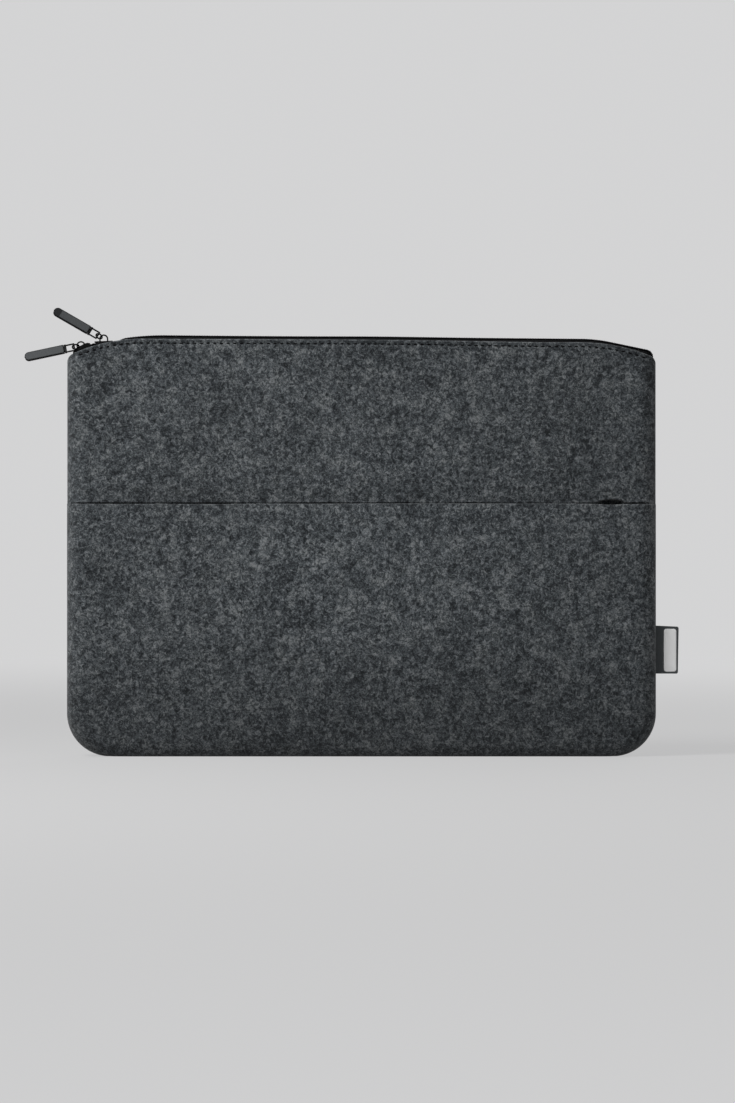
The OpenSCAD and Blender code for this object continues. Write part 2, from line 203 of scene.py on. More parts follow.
def tube(path, radius, sides=7, reference=(0.0, 1.0, 0.0)):
    """Points and faces of a round thread along a path, closed at both ends."""
    count = len(path)
    tangent = np.gradient(path, axis=0)
    tangent /= np.linalg.norm(tangent, axis=1, keepdims=True)
    a = np.cross(tangent, np.array(reference))
    a /= np.linalg.norm(a, axis=1, keepdims=True)
    b = np.cross(tangent, a)
    turn = np.linspace(0, 2 * math.pi, sides, endpoint=False)[:, None]
    points = path[:, None] + radius * (np.cos(turn) * a[:, None] + np.sin(turn) * b[:, None])
    ends = [tuple(range(sides))[::-1], tuple(range((count - 1) * sides, count * sides))]
    return points.reshape(-1, 3), ring_faces(count, sides) + ends


def joined(parts):
    """Points and faces of several meshes as one."""
    points, faces, base = [], [], 0
    for part_points, part_faces in parts:
        points.append(part_points)
        faces += [tuple(i + base for i in face) for face in part_faces]
        base += len(part_points)
    return np.concatenate(points), faces


# Felt panels

def soft_noise(x, z, wave, seed):
    """Smooth noise from about -1 to 1 over the sleeve's face, for arrays of x and z in millimetres."""
    values = [noise.noise(Vector((a / wave, b / wave, seed))) for a, b in zip(x.ravel(), z.ravel())]
    return np.array(values).reshape(x.shape) * 1.6


def smooth(a, b, v):
    """Smooth step from 0 at a to 1 at b, where a may be the larger one."""
    t = np.clip((v - a) / (b - a), 0, 1)
    return t * t * (3 - 2 * t)


def swell(e):
    """Quarter round, from 0 at an edge to 1 where its roll ends."""
    return np.sqrt(1 - (1 - np.clip(e, 0, 1)) ** 2)


def felt_top(x):
    """Height of the felt's top edge, under its rounded rim: nearly straight, with a shoulder at each end."""
    shoulder_r = np.where(x > 0, RIGHT_SHOULDER_R, LEFT_SHOULDER_R)
    past = np.maximum(0, np.abs(x) - SHOULDER_X)
    tip = np.minimum(np.maximum(0, np.abs(x) - (HALF_W - TIP_R)), TIP_R)
    return (HEIGHT - RIM - FELT_LEAN * x - RIGHT_FALL * smooth(10, 125, x) - past ** 2 / (2 * shoulder_r)
            - (TIP_R - np.sqrt(TIP_R ** 2 - tip ** 2)))


def half_at(z, inset):
    """Half the width of the outline at a height, drawn in by an inset."""
    low = HALF_W - CORNER_R + np.sqrt(np.maximum(0, (CORNER_R - inset) ** 2 - (CORNER_R - z) ** 2))
    return np.where(z >= CORNER_R, HALF_W - inset, low)


def from_side(x, z, inset=0.0):
    """Distance from the nearer side of the outline."""
    return half_at(z, inset) - np.abs(x)


def seam_y(inset):
    """The outer layers leave a thin groove at the seam; the inner ones lap there and let no light through."""
    return SEAM / 2 if inset == 0 else -SEAM / 2


def layer_y(x, z, inset):
    """Distance of a panel's layer from the seam's plane."""
    foot = FOOT / (HALF_ROOM + FELT_T)
    share = foot + (1 - foot) * swell((z - inset) / (BOTTOM_ROLL - inset))
    side = swell(from_side(x, z, inset) / (SIDE_ROLL - inset))
    seam = seam_y(inset)
    return seam + (HALF_ROOM + FELT_T - inset - seam) * side * share


def columns(half, roll):
    """Places across a row, from -half to half, closer together in the rolled edges."""
    edge = roll * (1 - np.cos(np.linspace(0, np.pi / 2, EDGE_COLUMNS)))
    field = np.linspace(roll, 2 * half - roll, COLUMNS)[1:-1]
    return np.concatenate([edge, field, 2 * half - edge[::-1]]) - half


def panel_grid(rows, top_of, inset, proud=0.0):
    """Points x and z of one layer of a panel whose top edge is top_of(x)."""
    corner, roll = CORNER_R - inset + proud, SIDE_ROLL - inset
    xs, zs = [], []
    for a in CORNER_ROWS:
        x = columns(HALF_W - CORNER_R + corner * math.sin(a), roll)
        xs.append(x)
        zs.append(np.full_like(x, CORNER_R - corner * math.cos(a)))
    x = columns(HALF_W - inset + proud, roll)
    top = top_of(x)
    level_to = min(172, rows[-1] - 40)
    for z in rows:
        xs.append(x)
        zs.append(z + (top - top.max()) * smooth(level_to, rows[-1], z))
    for depth in TOP_ROWS:
        xs.append(x)
        zs.append(top - depth)
    return np.array(xs), np.array(zs)


def billow(x, z):
    """Shallow waves of the felt, which lie still at its sewn edges."""
    edge = smooth(0, 40, from_side(x, z)) * smooth(0, 40, z)
    pillow = smooth(0, 75, from_side(x, z)) * smooth(0, 85, z) * smooth(0, 50, HEIGHT - z) - 1
    waves = sum(height * soft_noise(x, z, wave, seed) for height, wave, seed in WAVES)
    return edge * waves + PILLOW * edge * pillow


def panel_y(x, z, inset, side):
    """Distance of a panel's waved layer from the seam's plane."""
    return layer_y(x, z, inset) + billow(x, z) * (1 if side == FRONT else BACK_WAVES)


def stitch_pull(x, z):
    """Felt drawn in along the topstitch, most at each stitch's ends."""
    depth = felt_top(x) - z
    drawn = 0.5 + 0.22 * np.cos(2 * np.pi * x / STITCH_PITCH)
    return drawn * np.exp(-((depth - STITCH_DROP) / 0.9) ** 2)


def gape_dent(x, z):
    """Hollow in the front panel behind the pocket's mouth: a narrow groove, and a deep one at the gape."""
    along = np.exp(-(((x - GAPE_X) / 6.8) ** 6))
    lip = GAPE_TOP - 0.9 * ((x - GAPE_X) / 7) ** 2
    gape = GAPE_DEPTH * along * smooth(lip + 0.3, lip - 0.2, z) * smooth(138, 152, z)
    depth = np.maximum(0, 0.75 + 1.1 * soft_noise(x, 0 * x, 38, 5.3))
    groove = smooth(1, 12, from_side(x, z)) * depth * smooth(159.5, 159.0, z) * smooth(148, 156, z)
    return np.maximum(gape, groove)


def mouth_crease(x, z):
    """The front panel swells over the pocket's mouth and is drawn in towards it."""
    above = z - POCKET_H
    inside = smooth(0, 30, from_side(x, z))
    return inside * (2.2 * smooth(-1, 14, above) * smooth(80, 22, above))


def layer_shape(x, z, inset, side):
    """Points of one layer of a panel; the front one follows the pocket's mouth."""
    y = panel_y(x, z, inset, side)
    if side == FRONT:
        y = y + mouth_crease(x, z) - gape_dent(x, z)
    if inset == 0:
        y = y - stitch_pull(x, z)
    return np.stack([x, side * np.maximum(y, seam_y(inset)), z], -1)


def make_panel(name, side):
    """A full panel of two layers, each of which starts with a row of points at the bottom seam."""
    layers = []
    for inset in (0.0, FELT_T):
        layer = layer_shape(*panel_grid(PANEL_ROWS, felt_top, inset), inset, side)
        foot = layer[:1].copy()
        foot[..., 1] = side * seam_y(inset)
        layer = np.concatenate([foot, layer])
        layers.append(layer if side == FRONT else layer[:, ::-1])
    return closed_sheet(name, *layers, RIM_BULGE)


# Pocket

def pocket_top(x):
    """Height of the pocket's mouth, under its rounded rim: a slight wave, lower at the gape."""
    lip = np.exp(-(((x - GAPE_X) / 6.5) ** 2))
    return POCKET_H - POCKET_BULGE + 0.2 * np.sin(x / 47 + 0.6) - 0.45 * lip


def pocket_gap(x, z):
    """Room between the pocket and the front panel: nearly closed, but open at one end of the mouth."""
    inside = smooth(0, 26, from_side(x, z, POCKET_INSET)) * smooth(0, 22, z)
    room = 1.1 + 0.25 * soft_noise(x, z, 60, 11.0)
    slack = 0.35 + inside * room * (1 - 0.6 * smooth(120, 152, z))
    lip = np.exp(-(((x - GAPE_X) / 7.0) ** 2)) * smooth(138, POCKET_H, z)
    return slack + 0.9 * lip - inside * 0.4 * smooth(9, 0, pocket_top(x) - z)


def make_pocket(name):
    """The pocket's panel over the front panel, thinner towards its sewn edges."""
    x, z = panel_grid(POCKET_ROWS, pocket_top, 0.0, POCKET_PROUD)
    inner = panel_y(x, z, 0.0, FRONT) + pocket_gap(x, z)
    edge = swell(from_side(x, z, -POCKET_PROUD) / SIDE_ROLL) * swell((z + POCKET_PROUD) / BOTTOM_ROLL)
    outer = inner + POCKET_T * (0.45 + 0.55 * edge)
    layers = [np.stack([x, FRONT * y, z], -1) for y in (outer, inner)]
    return closed_sheet(name, *layers, POCKET_BULGE)


# Zip

def steps(length, turn, count):
    """Equal steps of a path, as pairs of length and turn."""
    return [(length / count, turn / count)] * count


def walk(start, angle, route):
    """Points of a path from start, at an angle below level, by steps of (length, turn)."""
    line = [start]
    for length, turn in route:
        angle += turn / 2
        line.append((line[-1][0] + length * math.cos(angle), line[-1][1] - length * math.sin(angle)))
        angle += turn / 2
    return np.array(line)


def crown_z(x):
    """Height of the crowned run that the sliders follow."""
    return TRACK_TOP - (TRACK_R - np.sqrt(TRACK_R ** 2 - np.square(x - TRACK_X)))


def left_path():
    """The zip's left end, under the sliders: the crowned run, a tight bend, a slope and a last turn down."""
    x = HALF_W - END_GAP - LEFT_RUN * math.cos(LEFT_SLOPE) - LEFT_BEND * math.sin(LEFT_SLOPE)
    tilt = math.asin((x + TRACK_X) / TRACK_R)
    bend = LEFT_SLOPE - tilt
    route = steps(LEFT_BEND * bend, bend, 5) + steps(LEFT_RUN, 0.0, 14) + steps(2.0, math.radians(38), 6)
    end = walk((x, crown_z(-x)), tilt, route)
    crown = np.linspace(-x, LEFT_JOIN, 10)[1:]
    return np.concatenate([(end * (-1, 1))[::-1], np.stack([crown, crown_z(crown)], -1)])


def level_z(x):
    """Height of the zip's straight middle, its left shoulder and the start of its right one."""
    left, right = np.maximum(0, ZIP_LEFT_X - x), np.maximum(0, x - SHOULDER_X)
    bend = ZIP_RIGHT_R * ZIP_RIGHT_SLOPE
    fall = np.where(right < bend, right ** 2 / (2 * ZIP_RIGHT_R), ZIP_RIGHT_SLOPE * (right - bend / 2))
    hump = 0.35 * np.exp(-((x - 12) / 42) ** 2)
    return HEIGHT - ZIP_DROP + hump - TOP_LEAN * x - left ** 2 / (2 * ZIP_LEFT_R) - fall


def zip_line():
    """The zip's path from its left end to its right end, as points x and z."""
    t = np.linspace(0, 1, 12)[1:-1]
    span = LEVEL_START - LEFT_JOIN
    leave = (TRACK_X - LEFT_JOIN) / TRACK_R
    meet = (ZIP_LEFT_X - LEVEL_START) / ZIP_LEFT_R - TOP_LEAN
    rise = ((2 * t ** 3 - 3 * t ** 2 + 1) * crown_z(LEFT_JOIN) + (t ** 3 - 2 * t ** 2 + t) * span * leave
            + (3 * t ** 2 - 2 * t ** 3) * level_z(LEVEL_START) + (t ** 3 - t ** 2) * span * meet)
    middle = np.linspace(LEVEL_START, LEVEL_END, 230)
    route = steps(3.6, math.radians(70), 8) + steps(2.8, 0.0, 2)
    tip = walk((LEVEL_END, float(level_z(LEVEL_END))), math.atan(ZIP_RIGHT_SLOPE + TOP_LEAN), route)[1:]
    return np.concatenate([left_path(), np.stack([LEFT_JOIN + span * t, rise], -1),
                           np.stack([middle, level_z(middle)], -1), tip])


ZIP_LINE = zip_line()
ZIP_S = np.concatenate([[0], np.cumsum(np.linalg.norm(np.diff(ZIP_LINE, axis=0), axis=1))])


def along_zip(s, up):
    """Points x and z above the zip's path, at lengths s along it."""
    x, z = (np.interp(s, ZIP_S, place) for place in ZIP_LINE.T)
    slope = np.arctan2(np.gradient(z), np.gradient(x))
    return x - up * np.sin(slope), z + up * np.cos(slope)


def parting(x):
    """How far the two halves of the chain stand apart between the parked sliders."""
    return 1.6 * smooth(-160.7, -165.0, x) * smooth(-175.3, -171.6, x)


def make_coil(name, side):
    """One filament wound round a cord: its turns reach past the zip's middle, between the other half's."""
    per_turn = 12
    s = np.arange(1.2, ZIP_S[-1] - 2.0, TOOTH_PITCH / per_turn)
    turn = 2 * np.pi * s / TOOTH_PITCH + (np.pi if side == FRONT else 0)
    x, z = along_zip(s, 0.92 + 0.52 * np.sin(turn))
    y = side * (0.98 + parting(x) + 1.7 * np.cos(turn))
    wound = tube(np.stack([x, y, z], -1), COIL_R, 6, (1.0, 0.0, 0.0))
    s = np.arange(1.2, ZIP_S[-1] - 1.6, 0.8)
    x, z = along_zip(s, 0.95)
    cord = tube(np.stack([x, side * (1.25 + parting(x)), z], -1), CORD_R, 8)
    return plain_mesh(name, *joined([wound, cord]))


# Section of a tape: distance from the zip's middle, height, share in the fold at the left end, and the shares
# of the thickness by which its lower face lies further in and further down
TAPE_SECTION = np.array([
    (1.9, 0.25, 0, 0, 1), (2.8, 0.25, 0, 0, 1), (3.8, 0.2, 0, 0, 1), (4.8, 0.1, 0, 0, 1),
    (5.6, -0.15, 0.55, 0.7, 0.7), (6.0, -0.7, 1, 1, 0.3), (6.15, -1.6, 0.98, 1, 0),
    (6.2, -4.0, 0.45, 1, 0), (6.2, -8.0, 0.1, 1, 0), (6.2, -12.0, 0, 1, 0)])


def end_fold(x, z):
    """How far the back tape's folded edge stands up at the zip's left end, where it shows by the slider."""
    top = np.interp(x, [-181.5, -180.0, -176.6, -174.6, -172.4, -171.2, -170.4],
                    [255.9, 256.9, 258.7, 259.8, 260.4, 260.0, 258.4])
    return np.maximum(0, top - z) * smooth(-182.2, -181.2, x) * smooth(-169.8, -170.8, x)


def make_tape(name, side):
    """A woven tape: flat beside the coil, bent over and down along the felt's inner face."""
    x, z = ZIP_LINE.T
    at_end = np.abs(x) > TAPE_END_X
    width, height = np.where(at_end, TAPE_END_WIDTH, 1.0), np.where(at_end, TAPE_END_HEIGHT, 1.0)
    fold = end_fold(x, z) if side == BACK else 0 * x
    rows = []
    for out, rise, share in TAPE_SECTION[:, :3]:
        felt = np.maximum(0.8, layer_y(x, z + min(rise, 0), FELT_T) - 0.35)
        y = np.maximum(np.minimum(out * width, felt), 1.2 + parting(x))
        rows.append(np.stack([x, side * y, z + rise * height + share * fold], -1))
    top = np.array(rows)
    low = top.copy()
    low[..., 1] -= side * TAPE_T * TAPE_SECTION[:, 3, None]
    low[..., 2] -= TAPE_T * TAPE_SECTION[:, 4, None]
    if side == FRONT:
        top, low = top[:, ::-1], low[:, ::-1]
    return closed_sheet(name, top, low, 0.0)


# Label

def label_box():
    """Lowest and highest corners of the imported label, in millimetres."""
    return (np.array(corner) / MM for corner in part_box("side_label"))


def label_points():
    """The label's middle surface: two layers that part towards the fold, with round corners there."""
    low, high = label_box()
    x0, x1, r, fold = low[0], high[0], 1.1, 0.35
    corner = r * (1 - np.cos(np.linspace(0, np.pi / 2, 7)))
    straight = np.linspace(low[2] + r, high[2] - r, 14)[1:-1]
    z = np.concatenate([low[2] + corner, straight, high[2] - corner[::-1]])
    near = np.minimum(np.minimum(z - low[2], high[2] - z), r)
    reach = x1 - x0 - (r - np.sqrt(r ** 2 - (r - near) ** 2))
    grid = []
    for end, height in zip(reach, z):
        flat = end - fold
        bend = flat + fold * np.sin(np.linspace(0.2, np.pi / 2, 6))
        s = np.concatenate([np.linspace(0, flat, LABEL_STEPS), bend])
        half = np.where(s <= flat, 0.13 + 0.12 * smooth(2, end * 0.7, s),
                        0.25 * np.sqrt(np.maximum(0, 1 - ((s - flat) / fold) ** 2)))
        front, back = np.stack([x0 + s, -half], -1), np.stack([x0 + s, half], -1)[::-1][1:]
        grid.append([(x, y, height) for x, y in np.concatenate([front, back])])
    grid = np.array(grid)
    share = (grid[..., 0] - x0) / (x1 - x0)
    rise = (grid[..., 2] - low[2]) / (high[2] - low[2])
    grid[..., 1] += 0.5 * np.sin(np.clip(share - 0.12, 0, 1) * 1.4) ** 2 * np.sin(rise * 2.2)
    grid[..., 0] -= 0.5 * share * (1 - rise)
    grid[..., 2] -= 0.8 * share * rise
    return grid


def make_label(name, grid):
    """The woven label, folded once."""
    normal = np.cross(np.gradient(grid, axis=1), np.gradient(grid, axis=0))
    normal /= np.maximum(np.linalg.norm(normal, axis=2, keepdims=True), 1e-9)
    return closed_sheet(name, grid + LABEL_HALF_T * normal, grid - LABEL_HALF_T * normal, 0.0)


def make_patch(name, grid):
    """A plain pale field with round corners, woven into the label's front face."""
    low, high = label_box()
    x0, x1 = low[0] + LABEL_TUCK + 5.2, low[0] + LABEL_TUCK + 13.0
    z0, z1, r = low[2] + 1.3, high[2] - 2.1, 1.6
    outline = []
    for x, z, a in ((x1 - r, z1 - r, 0), (x0 + r, z1 - r, 90), (x0 + r, z0 + r, 180), (x1 - r, z0 + r, 270)):
        outline += [(x + r * math.cos(math.radians(a + t)), z + r * math.sin(math.radians(a + t)))
                    for t in range(0, 91, 15)]
    outline = np.array(outline)
    centre = outline.mean(axis=0)
    face = grid[:, :LABEL_STEPS].reshape(-1, 3)
    rings = ((1.0, 0.03), (0.985, 0.075), (0.7, 0.08), (0.35, 0.08))
    points = []
    for share, rise in rings:
        for x, z in outline * share + centre * (1 - share):
            near = face[np.argmin((face[:, 0] - x) ** 2 + (face[:, 2] - z) ** 2)]
            points.append((x, near[1] - LABEL_HALF_T - rise, z))
    count = len(outline)
    middle = tuple(range(len(points) - count, len(points)))
    return plain_mesh(name, points, ring_faces(len(rings), count) + [middle])


# Pulls

def cad_points(name):
    """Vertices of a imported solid, in millimetres."""
    return np.array([v.co for v in nodes[name].data.vertices]) / MM


def make_strap(name, node, loop_node, cap):
    """A strap along the CAD strap, with rounded arrises, a dark painted edge and a dark end of length cap."""
    points = cad_points(node)
    centre = points.mean(0)
    along, across, thick = np.linalg.svd(points - centre, full_matrices=False)[2]
    if np.dot(along, centre - cad_points(loop_node).mean(0)) < 0:
        along = -along
    if np.dot(np.cross(along, across), thick) < 0:
        thick = -thick
    axes = np.stack([along, across, thick])
    local = (points - centre) @ axes.T
    mid = (local.min(0) + local.max(0)) / 2
    length, width, depth = np.ptp(local, axis=0)
    r, end = width / 2 - STRAP_ARRIS, length / 2 - STRAP_ARRIS
    turn = np.linspace(0, math.radians(78), 16)[1:]
    u = np.concatenate([np.linspace(-end, end - r, STRAP_STEPS), end - r + r * np.sin(turn)])[:, None]
    half = np.concatenate([np.full(STRAP_STEPS, r), r * np.cos(turn)])[:, None]
    v = half * np.sin(np.linspace(-np.pi / 2, np.pi / 2, 21))
    u = np.broadcast_to(u, v.shape)
    inside = np.where(u > end - r, r - np.hypot(u - (end - r), v), np.minimum(r - np.abs(v), u + end))
    edge = np.maximum(smooth(0.45, 0.2, inside), 0.8 * smooth(cap + 0.4, cap, end - u) * (cap > 0))
    faces = [(np.stack([u, v, np.full(u.shape, side * depth / 2)], -1) + mid) @ axes + centre
             for side in (1, -1)]
    obj = closed_sheet(name, *faces, STRAP_ARRIS, True)
    marks = np.ones(len(obj.data.vertices))
    marks[:2 * edge.size] = np.tile(edge.ravel(), 2)
    mark(obj, "edge", marks)
    return obj


# Sewing thread

def topstitch(name, side):
    """A row of stitches below the felt's top edge, each sunk into the felt at its ends."""
    arch = STITCH_RISE * np.sin(np.linspace(0, np.pi, STITCH_STEPS)) - STITCH_SINK
    stitches = []
    for start in np.arange(-STITCH_ROW, STITCH_ROW, STITCH_PITCH):
        x = start + np.linspace(STITCH_GAP, STITCH_PITCH - STITCH_GAP, STITCH_STEPS)
        z = felt_top(x) - STITCH_DROP
        y = panel_y(x, z, 0.0, side) + arch
        stitches.append(tube(np.stack([x, side * y, z], -1), STITCH_R))
    return plain_mesh(name, *joined(stitches))


# Materials

class Graph:
    """Short ways to add shader nodes."""

    def __init__(self, nt):
        self.nt = nt

    def node(self, kind, inputs=(), **props):
        n = self.nt.nodes.new(kind)
        for key, value in props.items():
            setattr(n, key, value)
        for key, value in dict(inputs).items():
            self.put(n.inputs[key], value)
        return n

    def put(self, socket, value):
        if isinstance(value, bpy.types.NodeSocket):
            self.nt.links.new(value, socket)
        else:
            socket.default_value = value

    def surface(self, inputs):
        for key, value in inputs.items():
            self.put(self.nt.nodes["Principled BSDF"].inputs[key], value)

    def noise(self, where, scale, detail=3.0, rough=0.6, distort=0.0):
        return self.node("ShaderNodeTexNoise", {"Vector": where, "Scale": scale, "Detail": detail,
                                                "Roughness": rough, "Distortion": distort}).outputs[0]

    def wave(self, where, scale, direction, distort, detail=2.0):
        inputs = {"Vector": where, "Scale": scale, "Distortion": distort, "Detail": detail}
        return self.node("ShaderNodeTexWave", inputs, bands_direction=direction).outputs["Fac"]

    def math(self, op, *values):
        return self.node("ShaderNodeMath", dict(enumerate(values)), operation=op).outputs[0]

    def vector(self, op, *values):
        return self.node("ShaderNodeVectorMath", dict(enumerate(values)), operation=op)

    def range(self, value, a, b, c, d, kind="LINEAR"):
        return self.node("ShaderNodeMapRange", {"Value": value, "From Min": a, "From Max": b, "To Min": c,
                                                "To Max": d}, interpolation_type=kind).outputs[0]

    def mix(self, fac, a, b, blend="MIX"):
        return self.node("ShaderNodeMix", {0: fac, 6: a, 7: b}, data_type="RGBA", blend_type=blend).outputs[2]

    def ramp(self, fac, stops):
        n = self.node("ShaderNodeValToRGB", {"Fac": fac})
        elements = n.color_ramp.elements
        while len(elements) < len(stops):
            elements.new(0.5)
        for element, (place, colour) in zip(elements, stops):
            element.position, element.color = place, (*colour, 1)
        return n.outputs[0]

    def bump(self, height, strength, distance, normal=None):
        inputs = {"Height": height, "Strength": strength, "Distance": distance}
        if normal is not None:
            inputs["Normal"] = normal
        return self.node("ShaderNodeBump", inputs).outputs[0]

    def attribute(self, name):
        return self.node("ShaderNodeAttribute", attribute_name=name).outputs["Fac"]


def new_material(name):
    """A material, the graph of its nodes and the place in the object that its patterns follow."""
    mat = bpy.data.materials.new(name)
    mat.use_nodes = True
    g = Graph(mat.node_tree)
    return mat, g, g.node("ShaderNodeTexCoord").outputs["Object"]


def fibres(g, where, scale, width, warp):
    """Thin curling lines: the places where a warped noise passes its middle."""
    n = g.noise(where, scale, 2.0, 0.5, warp)
    return g.range(g.math("ABSOLUTE", g.math("SUBTRACT", n, 0.5)), 0.0, width, 1.0, 0.0, "SMOOTHSTEP")


def felt_material():
    """Mottled charcoal felt with pale and dark fibres, with painted shade towards its bottom and painted
    light around its middle.
    """
    mat, g, where = new_material("charcoal_felt")
    warp = g.node("ShaderNodeTexNoise", {"Vector": where, "Scale": 380.0, "Detail": 2.0}).outputs["Color"]
    bent = g.vector("MULTIPLY_ADD", warp, (0.0022, 0.0022, 0.0022), where).outputs[0]
    cloud = g.noise(where, 26.0, 2.0, 0.5)
    patch = g.noise(where, 105.0)
    blotch = g.noise(bent, 400.0, distort=0.8)
    grain = g.noise(bent, 1050.0, 2.0, 0.6, 0.6)
    pale = g.math("MAXIMUM", fibres(g, where, 420.0, 0.02, 2.4), fibres(g, bent, 800.0, 0.025, 1.4))
    dark = g.math("MAXIMUM", fibres(g, bent, 460.0, 0.025, 2.6), fibres(g, where, 700.0, 0.025, 1.6))
    tone = 0.5
    for layer, share in ((cloud, 0.3), (patch, 0.8), (blotch, 2.3), (grain, 1.65)):
        tone = g.math("MULTIPLY_ADD", g.math("SUBTRACT", layer, 0.5), share, tone)
    for layer, share in ((pale, 0.2), (dark, -0.36), (g.attribute("cut"), 0.12)):
        tone = g.math("MULTIPLY_ADD", layer, share, tone)
    colour = g.ramp(tone, [(0.0, (0.0062, 0.0076, 0.0090)), (0.25, (0.0205, 0.0242, 0.0275)),
                           (0.5, (0.0475, 0.0545, 0.0600)), (0.75, (0.0930, 0.1030, 0.1105)),
                           (1.0, (0.1680, 0.1790, 0.1870))])
    warm = g.range(patch, 0.42, 0.66, 0.0, 0.5, "SMOOTHSTEP")
    colour = g.mix(warm, colour, (1.0, 0.975, 0.935, 1), "MULTIPLY")
    # Painted shade and painted light: the felt's colour is darkened towards its bottom fold and lightened in
    # an oval around its middle, in place of light falling off.
    height = g.node("ShaderNodeSeparateXYZ", {0: where}).outputs["Z"]
    low = g.range(height, 0.0, 0.07, 0.74, 1.03, "SMOOTHSTEP")
    painted_light_oval = g.vector("MULTIPLY_ADD", where, (4.8, 0.0, 9.0), (-0.1, 0.0, -1.15)).outputs[0]
    middle = g.range(g.vector("LENGTH", painted_light_oval).outputs["Value"], 0.0, 1.0, 1.26, 1.0, "SMOOTHSTEP")
    fluff = g.bump(grain, 0.6, 0.0004, g.bump(blotch, 0.55, 0.0008))
    # The base colour carries the painted shade at the bottom and the painted light in the middle.
    g.surface({"Base Color": g.mix(1.0, colour, g.math("MULTIPLY", low, middle), "MULTIPLY"),
               "Roughness": 0.95, "Specular IOR Level": 0.12, "Sheen Weight": 0.18, "Sheen Roughness": 0.55,
               "Normal": g.bump(pale, 0.35, 0.0002, fluff)})
    return mat


def tape_material():
    """Black woven tape."""
    mat, g, where = new_material("black_tape")
    weave = g.math("MULTIPLY", g.wave(where, 500.0, "X", 0.6, 1.0), g.wave(where, 380.0, "Y", 0.4, 1.0))
    fuzz = g.noise(where, 900.0)
    tone = g.math("ADD", g.math("MULTIPLY", weave, 0.6), g.math("MULTIPLY", fuzz, 0.4))
    g.surface({"Base Color": g.ramp(tone, [(0.1, (0.002, 0.002, 0.0024)), (0.9, (0.008, 0.008, 0.009))]),
               "Roughness": 0.85, "Specular IOR Level": 0.1, "Normal": g.bump(weave, 0.6, 0.0002)})
    return mat


def coil_material():
    """Black plastic filament."""
    mat, g, where = new_material("black_coil")
    wear = g.noise(where, 700.0)
    g.surface({"Base Color": g.ramp(wear, [(0.3, (0.002, 0.002, 0.0024)), (0.7, (0.004, 0.004, 0.0046))]),
               "Roughness": g.range(wear, 0.3, 0.7, 0.45, 0.6), "Specular IOR Level": 0.07})
    return mat


def metal_material():
    """Satin black metal."""
    mat, g, where = new_material("satin_black_metal")
    wear = g.noise(where, 1400.0, 4.0, 0.65)
    g.surface({"Base Color": g.ramp(wear, [(0.3, (0.002, 0.002, 0.002)), (0.75, (0.004, 0.004, 0.0045))]),
               "Roughness": g.range(wear, 0.3, 0.7, 0.32, 0.46), "Specular IOR Level": 0.08,
               "Normal": g.bump(wear, 0.12, 0.00005)})
    return mat


def strap_material():
    """Smooth grey faces and near-black painted edges; the edge is marked in the mesh."""
    mat, g, where = new_material("grey_strap")
    pores = g.noise(where, 1600.0)
    face = g.ramp(pores, [(0.25, (0.042, 0.045, 0.047)), (0.75, (0.062, 0.066, 0.069))])
    g.surface({"Base Color": g.mix(g.attribute("edge"), face, (0.0025, 0.0025, 0.003, 1)),
               "Roughness": 0.6, "Specular IOR Level": 0.12, "Normal": g.bump(pores, 0.15, 0.0001)})
    return mat


def label_material(name, low, high):
    """Fine weave between two tones."""
    mat, g, where = new_material(name)
    weave = g.math("MULTIPLY", g.wave(where, 900.0, "Z", 0.3), g.wave(where, 700.0, "X", 0.3))
    tone = g.math("ADD", g.math("MULTIPLY", weave, 0.7), g.math("MULTIPLY", g.noise(where, 300.0), 0.3))
    g.surface({"Base Color": g.ramp(tone, [(0.1, low), (0.7, high)]),
               "Roughness": 0.7, "Specular IOR Level": 0.25, "Normal": g.bump(weave, 0.35, 0.0001)})
    return mat


def thread_material():
    """Dark twisted thread."""
    mat, g, where = new_material("dark_thread")
    ply = g.noise(where, 2500.0, 2.0, 0.5)
    g.surface({"Base Color": g.ramp(ply, [(0.3, (0.001, 0.001, 0.0012)), (0.7, (0.004, 0.004, 0.0045))]),
               "Roughness": 0.8, "Specular IOR Level": 0.06, "Normal": g.bump(ply, 0.4, 0.0001)})
    return mat


FELT = felt_material()
TAPE = tape_material()
COIL = coil_material()
METAL = metal_material()
STRAP = strap_material()
THREAD = thread_material()
LABEL = label_material("grey_label", (0.044, 0.049, 0.052), (0.066, 0.072, 0.076))
PATCH = label_material("pale_weave", (0.78, 0.78, 0.78), (0.88, 0.88, 0.88))


# Pieces

def finish_piece(obj, body, slot, material, *stands_for):
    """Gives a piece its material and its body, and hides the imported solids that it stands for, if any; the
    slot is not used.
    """
    obj.data.materials.append(material)
    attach(obj, body)
    if stands_for:
        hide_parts(*stands_for)
    return obj


felt_back = finish_piece(make_panel("felt_back", BACK), "sleeve", "felt", FELT, "back_panel")
felt_front = finish_piece(make_panel("felt_front", FRONT), "sleeve", "felt", FELT, "front_panel")
felt_pocket = finish_piece(make_pocket("felt_pocket"), "sleeve", "felt", FELT, "pocket_panel")
tape_back = finish_piece(make_tape("tape_back", BACK), "sleeve", "zip_tape", TAPE, "zip_tape_back")
tape_front = finish_piece(make_tape("tape_front", FRONT), "sleeve", "zip_tape", TAPE, "zip_tape_front")
label_grid = label_points()
label_fold = finish_piece(make_label("label_fold", label_grid), "sleeve", "label", LABEL, "side_label")
label_patch = finish_piece(make_patch("label_patch", label_grid), "sleeve", "label", PATCH)
pull_right = make_strap("pull_right", "strap_right", "loop_right", DARK_END)
pull_left = make_strap("pull_left", "strap_left", "loop_left", 0.0)
finish_piece(pull_right, "right_pull", "strap", STRAP, "strap_right")
finish_piece(pull_left, "left_pull", "strap", STRAP, "strap_left")
finish_piece(make_coil("coil_back", BACK), "sleeve", "zip_coil", COIL, "zip_coil_back")
finish_piece(make_coil("coil_front", FRONT), "sleeve", "zip_coil", COIL, "zip_coil_front")
stitch_front = finish_piece(topstitch("topstitch_front", FRONT), "sleeve", "felt", THREAD)
